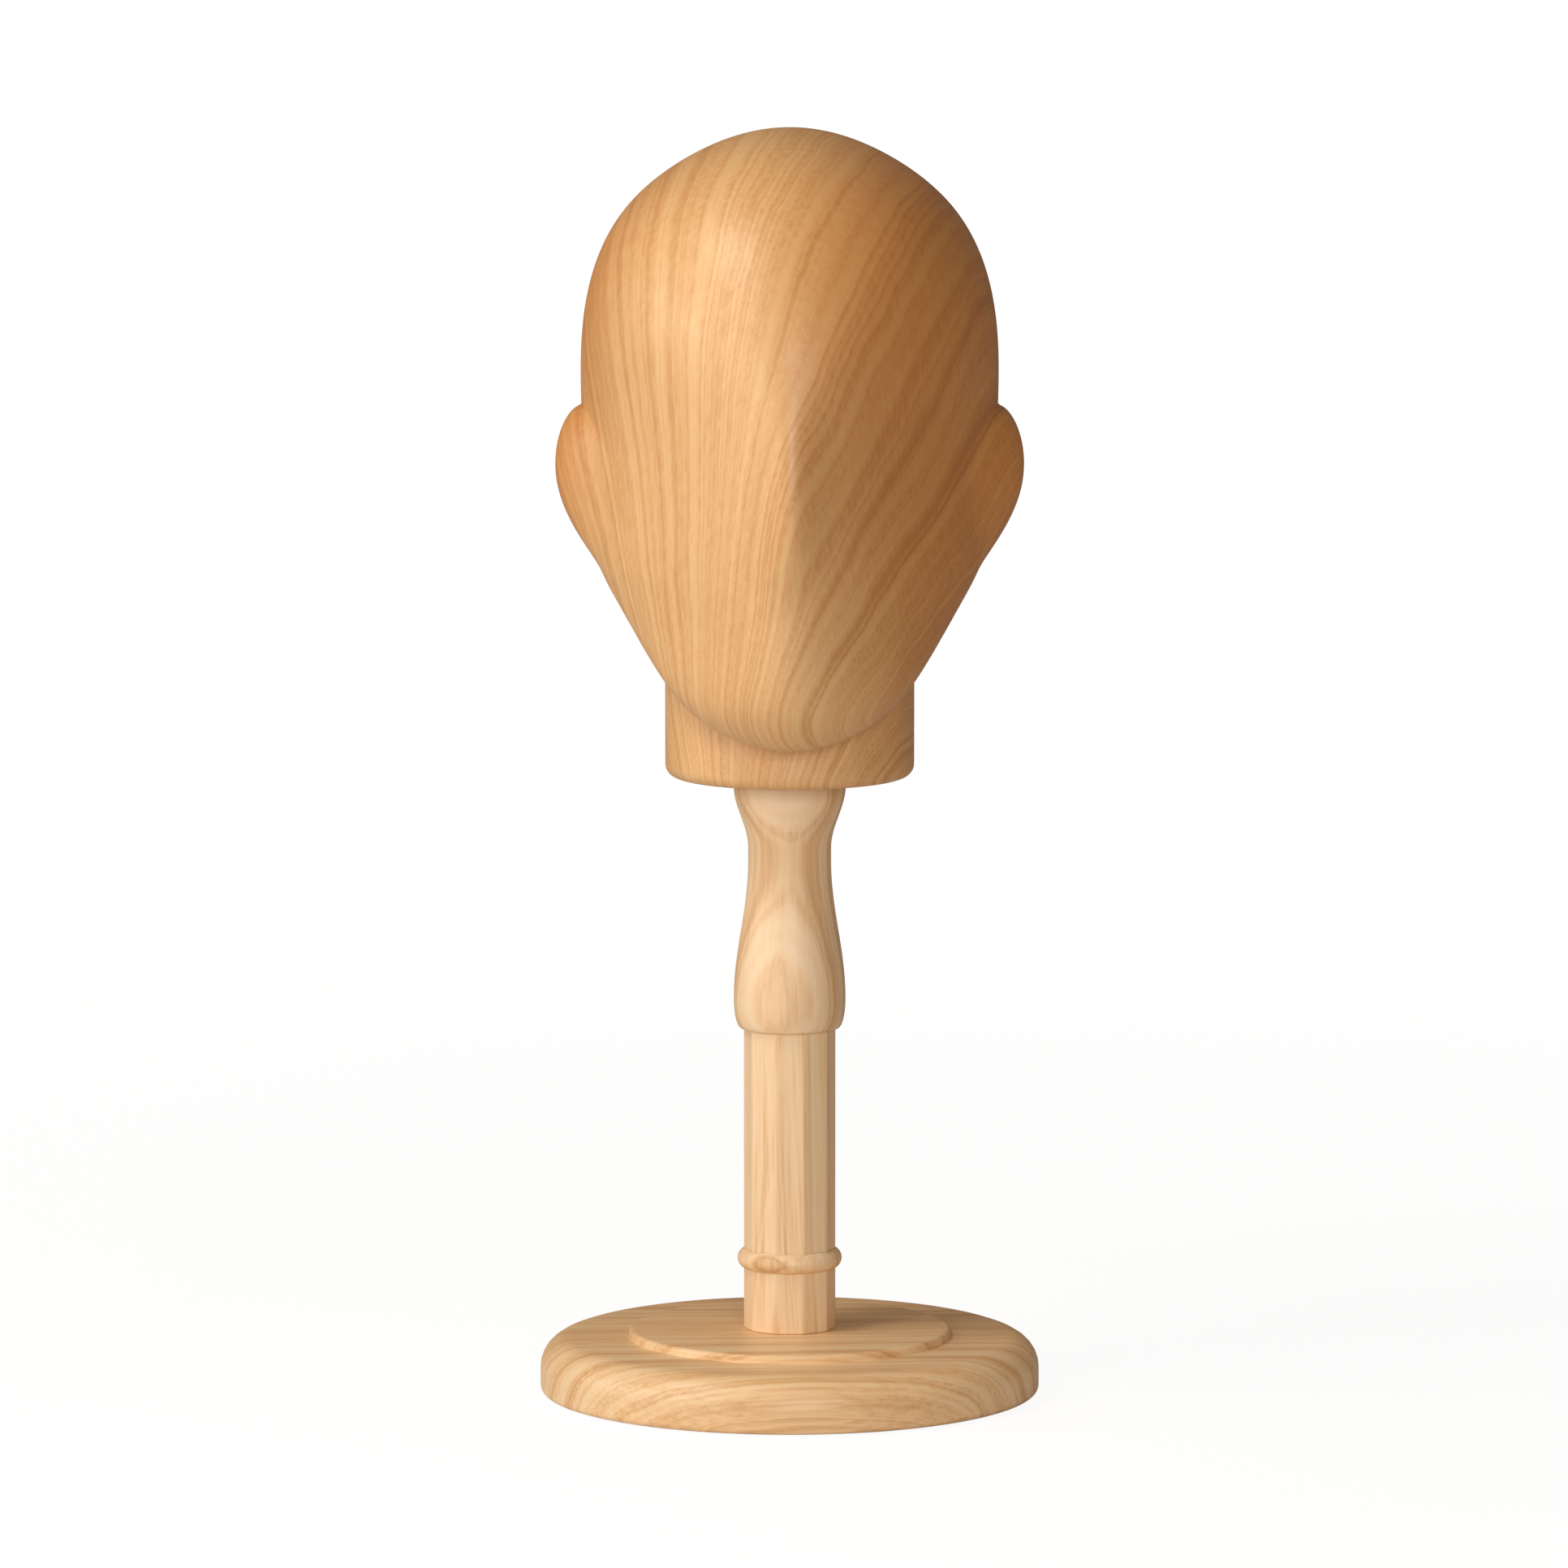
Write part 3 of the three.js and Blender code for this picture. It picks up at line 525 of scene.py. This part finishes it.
# Waxed beech: plain and straight, a little pinker and drier than the varnished woods, with short dark
# flecks.
dowel_wood = wood(
    "waxed_beech_dowel",
    colours=("#E8C99C", "#DDB986", "#C3986A", "#EAD6BE"),
    pith=(55, 20, 0),
    lean=(0.5, 1, 0),
    ring=2.5,
    line=0.15,
    figure=1.5,
    fibre=0.8,
    fleck=0.4,
    gloss=0.15,
    roughness=0.55,
    sap_and_shade=(60, 30),
)
PEG_RADIUS, PEG_END_RADIUS, PEG_CHAMFER = 10, 8.5, 1.5
peg_foot, peg_top = (corner[2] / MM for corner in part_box("head_peg"))
peg_profile = [(0, peg_foot, 0), (PEG_END_RADIUS, peg_foot, EASED)]
peg_profile += [(PEG_RADIUS, peg_foot + PEG_CHAMFER, EASED), (PEG_RADIUS, peg_top - PEG_CHAMFER, SOFT)]
peg_profile += [(PEG_END_RADIUS, peg_top, SOFT), (0, peg_top, 0)]
piece("peg_dowel", turned(outline(peg_profile), 120), dowel_wood, "stand", "head_peg")

# The bearing: a brass washer lies loose on the collar, and a flanged brass sleeve is pressed into the
# neck, so the head turns brass on brass and lifts off.

WASHER_RADIUS, WASHER_THICKNESS, WASHER_EASED = 19, 1.5, 0.25
washer_middle = (PEG_BORE, WASHER_THICKNESS / 2, 0)
washer_edge = [washer_middle, (PEG_BORE, 0, WASHER_EASED), (WASHER_RADIUS, 0, EASED)]
washer_edge += [(WASHER_RADIUS, WASHER_THICKNESS, EASED), (PEG_BORE, WASHER_THICKNESS, WASHER_EASED)]
washer_grid = lifted(turned(outline(washer_edge + [washer_middle]), 180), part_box("head_washer")[0][2])
piece("washer_ring", washer_grid, brass, "washer", "head_washer")

SLEEVE_FLANGE, SLEEVE_RADIUS, SLEEVE_SEAM = 17, 11.8, 5
sleeve_foot, sleeve_top = (corner[2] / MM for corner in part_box("neck_sleeve"))
tall = sleeve_top - sleeve_foot
sleeve_edge = [(PEG_BORE, SLEEVE_SEAM, 0), (PEG_BORE, 0, SOFT), (SLEEVE_FLANGE, 0, EASED)]
sleeve_edge += [(SLEEVE_FLANGE, FLANGE_THICKNESS, CRISP), (SLEEVE_RADIUS, FLANGE_THICKNESS, CRISP)]
sleeve_edge += [(SLEEVE_RADIUS, tall, SOFT), (PEG_BORE, tall, SOFT), (PEG_BORE, SLEEVE_SEAM, 0)]
sleeve_grid = lifted(turned(outline(sleeve_edge), 180), sleeve_foot * MM)
piece("sleeve_tube", sleeve_grid, brass, "head", "neck_sleeve")

# The head: carved with the neck from one block of alder, with ears and a nose that are only swellings,
# sanded smooth and given a satin varnish. The fibres run up the face and fan out from the chin.

NECK_RADIUS, CHIN_RISE, CHIN_FILLET, NAPE_FILLET, NECK_EDGE = 44.7, 16, 8, 24, 4.5
HEAD_HEIGHT, SKULL_HALF_WIDTH, FACE_REACH, NAPE_REACH = 216.5, 75.2, 96, 94
EAR_RISE, EAR_SET_BACK, EAR_THICKNESS = 94, 3, 10.4
EAR_UP, EAR_DOWN, EAR_FORWARD, EAR_BACK = 23.5, 40, 33, 19
NOSE_RISE, NOSE_HEIGHT, NOSE_HALF_WIDTH, NOSE_UP, NOSE_DOWN = 84, 6, 15, 60, 34
RIDGE_ROUNDING, RIDGE_POWER, NAPE_FULLNESS, EAR_EDGE, EAR_FADE = 0.32, 0.94, 2.15, 0.6, 1.3
SLEEVE_SINK, SLEEVE_SINK_DEPTH, SLEEVE_BORE, SLEEVE_BORE_DEPTH = 17.3, 1.6, 12.1, 65.5


def meridian(share):
    """The place on a meridian, 0 at the chin and 1 at the crown, of a height given as a share of the way
    up."""
    return np.arccos(1 - 2 * share) / math.pi


def curve_through(points):
    """The natural cubic spline through (share of the height, reach) points, taken over the meridian's
    places: a row of cubics that meet with the same slope and bend, and are straight at both ends."""
    x, y = meridian(np.array(points)[:, 0]), np.array(points)[:, 1]
    gap = np.diff(x)
    slope = np.diff(y) / gap
    system = np.diag(np.r_[1, 2 * (gap[:-1] + gap[1:]), 1])
    system += np.diag(np.r_[0, gap[1:]], 1) + np.diag(np.r_[gap[:-1], 0], -1)
    bend = np.linalg.solve(system, np.r_[0, 6 * np.diff(slope), 0])

    def curve(place):
        i = np.clip(np.searchsorted(x, place) - 1, 0, len(gap) - 1)
        b = (place - x[i]) / gap[i]
        a = 1 - b
        cubic = (a**3 - a) * bend[i] + (b**3 - b) * bend[i + 1]
        return a * y[i] + b * y[i + 1] + cubic * gap[i] ** 2 / 6

    return curve


# The half width, the face, the cheek line where a level section is widest, and the nape are shares of
# their greatest reach, from the chin to the crown. The ridge, times RIDGE_POWER, is the power that shapes
# the face: the lower it is, the sharper the ridge.
width_outline = curve_through(
    [(0, 0), (0.0275, 0.33), (0.07, 0.503), (0.115, 0.612), (0.17, 0.717), (0.225, 0.815), (0.28, 0.902)]
    + [(0.38, 0.966), (0.5, 0.986), (0.66, 0.988), (0.77, 0.93), (0.874, 0.766), (0.956, 0.463), (1, 0)]
)
face_outline = curve_through(
    [(0, -0.6), (0.0275, -0.755), (0.07, -0.845), (0.14, -0.9), (0.25, -0.945), (0.38, -0.985), (0.5, -1)]
    + [(0.62, -0.985), (0.72, -0.93), (0.82, -0.82), (0.9, -0.67), (0.96, -0.45), (1, 0.04)]
)
cheek_outline = curve_through(
    [(0, -0.6), (0.07, -0.48), (0.14, -0.36), (0.24, -0.18), (0.36, -0.05), (0.5, 0), (0.75, 0), (1, 0.04)]
)
nape_outline = curve_through(
    [(0, -0.613), (0.03, -0.47), (0.1, -0.13), (0.2, 0.38), (0.3, 0.7), (0.42, 0.91), (0.55, 0.995)]
    + [(0.66, 0.985), (0.77, 0.925), (0.87, 0.775), (0.95, 0.53), (1, 0.041)]
)
ridge_outline = curve_through(
    [(0, 1.7), (0.07, 1.25), (0.16, 1.02), (0.3, 0.95), (0.45, 0.95), (0.55, 1.1), (0.66, 1.45)]
    + [(0.8, 1.85), (1, 2)]
)


def inside_head(x, y, z):
    """True where points (mm, height from the neck's underside) lie in the head. Each level section is
    widest at the cheek line. In front of it the face falls by a power of the share of the way across,
    rounded near the middle, from a ridge to an ellipse, and behind it lies a full ellipse. The ear widens
    the section in a patch of its side, and the nose lengthens it in a patch of its front."""
    rise = z - CHIN_RISE
    within = (rise > 0) & (rise < HEAD_HEIGHT)
    place = meridian(np.clip(rise / HEAD_HEIGHT, 1e-9, 1 - 1e-9))
    up, back = rise - EAR_RISE, y - EAR_SET_BACK
    s = up / np.where(up > 0, EAR_UP, EAR_DOWN)
    t = back / np.where(back > 0, EAR_BACK, EAR_FORWARD)
    left = np.clip(1 - s * s - t * t, 0, 1)
    turned_down = (np.minimum(s, 0) ** 2 + np.minimum(t, 0) ** 2) / np.maximum(s * s + t * t, 1e-12)
    ear = EAR_THICKNESS * left ** (EAR_EDGE + EAR_FADE * turned_down) * (left > 0)
    width = np.maximum(width_outline(place) * SKULL_HALF_WIDTH, 1e-6)
    across = np.maximum(0, np.abs(x) - ear) / width
    within &= across < 1
    across = np.minimum(across, 1)
    up = rise - NOSE_RISE
    s = np.clip(up / np.where(up > 0, NOSE_UP, NOSE_DOWN), -1, 1)
    nose = NOSE_HEIGHT * (1 - s * s) ** 2 * np.exp(-2 * (x / NOSE_HALF_WIDTH) ** 2)
    cheek = cheek_outline(place) * FACE_REACH
    power = ridge_outline(place) * RIDGE_POWER
    start = RIDGE_ROUNDING**power
    fallen = (across**2 + RIDGE_ROUNDING**2) ** (power / 2) - start
    fallen /= (1 + RIDGE_ROUNDING**2) ** (power / 2) - start
    front = (cheek - face_outline(place) * FACE_REACH) * np.clip(1 - fallen, 0, 1) ** (1 / (1 + power / 2))
    rear = (nape_outline(place) * NAPE_REACH - cheek) * np.sqrt(1 - across**NAPE_FULLNESS)
    return within & np.where(y > cheek, y - cheek < rear, cheek - y < front + nose)


HALVINGS = 28  # they find the skin to within two millionths of a millimetre


def carved(down, around):
    """The head and neck as distances from the heart of the block. Along each direction the reach is the
    last point inside the head, found by halving the way between in and out, or the neck's cylinder if that
    is further. Where the two differ by less than the fillet, up to a quarter of the fillet is added along
    a parabola, which blends them."""
    heart = CHIN_RISE + HEAD_HEIGHT / 2
    level, drop = np.sin(down), np.cos(down)
    near, far = 0 * down, 0 * down + 2 * HEAD_HEIGHT
    for _ in range(HALVINGS):
        half = (near + far) / 2
        hit = inside_head(half * level * np.cos(around), half * level * np.sin(around), heart + half * drop)
        near, far = np.where(hit, half, near), np.where(hit, far, half)
    neck = np.where(drop < 0, NECK_RADIUS / np.maximum(level, 1e-9), 0)
    fillet = CHIN_FILLET + (NAPE_FILLET - CHIN_FILLET) * np.maximum(0, np.sin(around)) ** 2
    blend = np.maximum(0, 1 - np.abs(near - neck) / fillet)
    reach = np.maximum(near, neck) + blend**2 * fillet / 4
    return around_z(reach * level, heart + reach * drop, around)


# The columns stand closer together at the ridge, the nape and the ears.
columns, rows, gathered = 320, 260, 0.1
even = np.linspace(0, 2 * math.pi, columns, endpoint=False)
around = even - gathered * np.sin(4 * even)
lowest = math.pi - math.atan(NECK_RADIUS / (CHIN_RISE + HEAD_HEIGHT / 2 - NECK_EDGE))
down = np.linspace(0, lowest, rows)
skin = carved(*np.meshgrid(down, around, indexing="ij")) * MM

# The skin ends on the neck's side, where the rounded edge begins. The foot's first point only gives that
# edge the direction of the side, and is left out.
foot = [(NECK_RADIUS, 2 * NECK_EDGE, 0), (NECK_RADIUS, 0, NECK_EDGE), (SLEEVE_SINK, 0, EASED)]
foot += [(SLEEVE_SINK, SLEEVE_SINK_DEPTH, CRISP), (SLEEVE_BORE, SLEEVE_SINK_DEPTH, EASED)]
foot = outline(foot + [(SLEEVE_BORE, SLEEVE_BORE_DEPTH, EASED), (0, SLEEVE_BORE_DEPTH, 0)])[1:]
under = around_z(foot[:, :1], foot[:, 1:], around)
head_grid = lifted(np.concatenate([skin, under]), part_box("head")[0][2])

# Varnished alder: warmer and deeper than the stand, with fine lines that fan up the face, palest just left
# of the middle and darker towards the ears and the crown, most of all on the right, under a satin film that
# shows soft highlights. Towards the left ear the darkening is the wood's own deeper tone. On the right side
# and the crown, which turn from the lamps, it is painted shade.
head_wood = wood(
    "varnished_alder_carving",
    colours=("#E9BF87", "#E1AF76", "#CF985E", "#E2BC8A"),
    pith=(-260, 40, 0),
    lean=(0, 1.5, 0),
    ring=4.5,
    line=0.05,
    figure=2.4,
    fibre=0.5,
    fleck=0.6,
    gloss=0.6,
    roughness=0.42,
    # The pale zone lies left of the middle, so most of the deepening falls on the right side: painted shade
    # there, as that side turns from the lamps.
    sap_and_shade=(246, 50),
    fan=(150, 340),
)
piece("head_carving", head_grid, head_wood, "head", "head")

# The studio: a white paper floor that runs out of sight, a wide window and three lamps to the left, one of
# them high and one beside the object, a lamp in front, and the camera far off with a long lens.

FLOOR_WIDTH, FLOOR_DROP, PAPER_WHITE = 60.0, 0.1, 1.09
MIRRORED = 0.06  # glossy surfaces show the white too, but weaker, as the photograph's satin wood has it
bpy.ops.mesh.primitive_plane_add(size=FLOOR_WIDTH, location=(0, 0, -FLOOR_DROP * MM))
floor = bpy.context.object
floor.name = "studio_floor"


def white_share(tree):
    """How much of the backdrop's white a ray meets: all for the camera's rays and those that pass through
    something clear, MIRRORED for those that a surface reflects, and none for those that light a
    surface."""
    rays = add(tree, "ShaderNodeLightPath").outputs
    share = {0: rays["Is Glossy Ray"], 1: MIRRORED, 2: rays["Is Camera Ray"]}
    share = add(tree, "ShaderNodeMath", share, operation="MULTIPLY_ADD").outputs[0]
    share = {0: share, 1: rays["Is Transmission Ray"]}
    return add(tree, "ShaderNodeMath", share, operation="MAXIMUM").outputs[0]


# White paper: a matt white that keeps the object's shadow, and an even white on top of it. Its share grows
# from NEAR_GLOW to FAR_GLOW between NEAR and FAR metres from the middle, so that the floor has no edge.
NEAR, FAR, NEAR_GLOW, FAR_GLOW = 0.3, 1.8, 0.85, 0.94
paper = bpy.data.materials.new("white_paper_floor")
paper.use_nodes = True
tree = paper.node_tree
tree.nodes.clear()
share = white_share(tree)
place = add(tree, "ShaderNodeTexCoord").outputs["Object"]
away = add(tree, "ShaderNodeVectorMath", {0: place}, operation="LENGTH").outputs["Value"]
glow = {0: away, 1: NEAR, 2: FAR, 3: NEAR_GLOW, 4: FAR_GLOW}
glow = add(tree, "ShaderNodeMapRange", glow).outputs[0]
share = add(tree, "ShaderNodeMath", {0: share, 1: glow}, operation="MULTIPLY").outputs[0]
matt = add(tree, "ShaderNodeBsdfDiffuse", {"Color": (0.8, 0.8, 0.8, 1)}).outputs[0]
white = add(tree, "ShaderNodeEmission", {"Color": (1, 1, 1, 1), "Strength": PAPER_WHITE}).outputs[0]
mixed = add(tree, "ShaderNodeMixShader", {0: share, 1: matt, 2: white}).outputs[0]
add(tree, "ShaderNodeOutputMaterial", {"Surface": mixed})
floor.data.materials.append(paper)

# The room itself lights the object with a weak warm glow, as pale wooden furniture would.
ROOM_COLOUR, ROOM_GLOW = (1.0, 0.73, 0.47, 1), 0.17
world = bpy.data.worlds.new("white_studio")
bpy.context.scene.world = world
world.use_nodes = True
tree = world.node_tree
tree.nodes.clear()
share = white_share(tree)
room = add(tree, "ShaderNodeBackground", {"Color": ROOM_COLOUR, "Strength": ROOM_GLOW}).outputs[0]
white = add(tree, "ShaderNodeBackground", {"Color": (1, 1, 1, 1), "Strength": 1.0}).outputs[0]
mixed = add(tree, "ShaderNodeMixShader", {0: share, 1: room, 2: white}).outputs[0]
add(tree, "ShaderNodeOutputWorld", {"Surface": mixed})

LAMPS_AIM = 0.25  # the height that the lamps look at


def lamp(name, azimuth, elevation, distance, size, power, colour=(1.0, 1.0, 1.0)):
    """A soft lamp of a size (width, height) in metres and a power in watts. It looks at the middle of the
    object from an azimuth (0 in front and + to the right) and an elevation in degrees."""
    light = bpy.data.lights.new(name, "AREA")
    light.shape = "RECTANGLE"
    light.size, light.size_y = size
    light.energy, light.color = power, colour
    made = bpy.data.objects.new(name, light)
    a, e = math.radians(azimuth), math.radians(elevation)
    level = distance * math.cos(e)
    made.location = (level * math.sin(a), -level * math.cos(a), LAMPS_AIM + distance * math.sin(e))
    made.rotation_euler = (math.pi / 2 - e, 0, a)
    bpy.context.scene.collection.objects.link(made)


lamp("side_window", azimuth=-50, elevation=15, distance=2.5, size=(1.8, 1.8), power=9.3)
lamp("side_lamp", azimuth=-48, elevation=18, distance=1.8, size=(0.8, 0.8), power=4.6)
warm = (1, 0.93, 0.84)
lamp("upper_side_lamp", azimuth=-58, elevation=52, distance=1.1, size=(0.35, 0.35), power=4.2, colour=warm)
lamp("front_lamp", azimuth=7, elevation=12, distance=1.8, size=(0.5, 0.5), power=9.4)
lamp("rim_lamp", azimuth=-85, elevation=10, distance=1.8, size=(0.5, 0.5), power=5)

# The camera looks slightly down from 4 m away, and its long lens (mm) takes in 0.56 m at the object.
CAMERA_ASIDE, CAMERA_AWAY, CAMERA_HEIGHT, CAMERA_AIM = -0.00204, 4.0, 0.74235, 0.22135
LENS, SENSOR = 257.9, 36
camera_data = bpy.data.cameras.new("camera")
camera_data.lens = LENS
camera_data.sensor_width = SENSOR
camera = bpy.data.objects.new("camera", camera_data)
camera.location = (CAMERA_ASIDE, -CAMERA_AWAY, CAMERA_HEIGHT)
camera.rotation_euler = (math.pi / 2 - math.atan((CAMERA_HEIGHT - CAMERA_AIM) / CAMERA_AWAY), 0, 0)
bpy.context.scene.collection.objects.link(camera)
bpy.context.scene.camera = camera
bpy.context.scene.view_settings.view_transform = "Standard"
